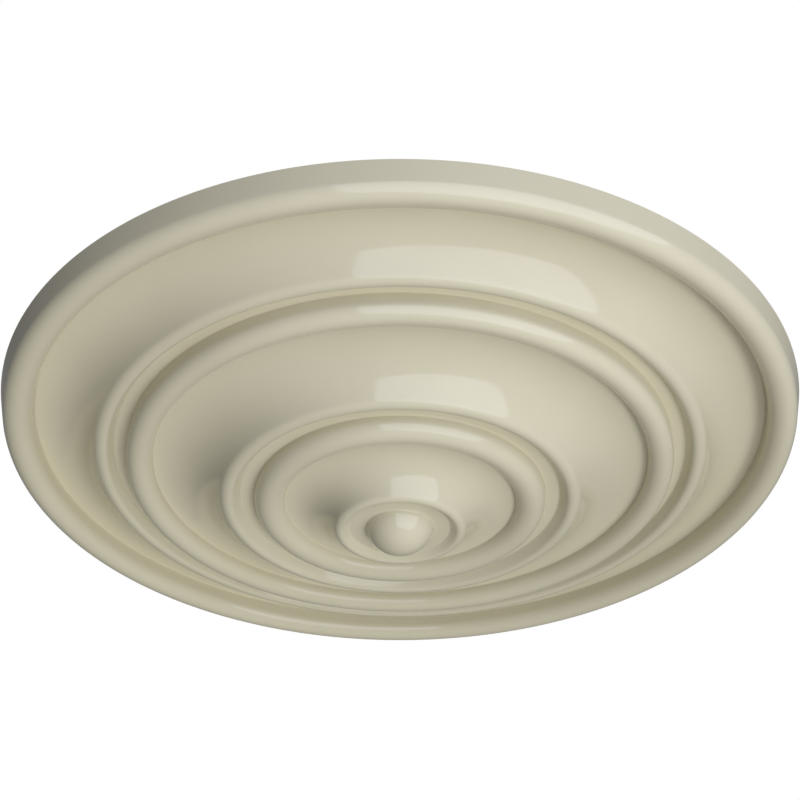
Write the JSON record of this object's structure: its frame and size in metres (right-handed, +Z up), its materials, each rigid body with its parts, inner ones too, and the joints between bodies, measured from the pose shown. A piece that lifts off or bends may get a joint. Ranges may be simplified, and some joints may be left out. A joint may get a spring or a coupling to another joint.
{
  "type": "ceiling rose",
  "caption": "Round ceiling medallion with a flat back, stepped coves, half-round beads, flat grooves and a domed centre boss.",
  "frame": {"origin": "centre of the flat back, in the plane of the ceiling", "axes": "+Z up into the ceiling, square to the flat back; the moulded face hangs towards -Z; X and Y are any two square directions, as the piece is turned"},
  "size_m": [0.6102, 0.6102, 0.0976],
  "materials": {
    "satin_paint": "cream satin paint over a cast polyurethane moulding"
  },
  "bodies": {
    "root": {"ceiling_rose": "satin_paint"}
  },
  "joints": []
}
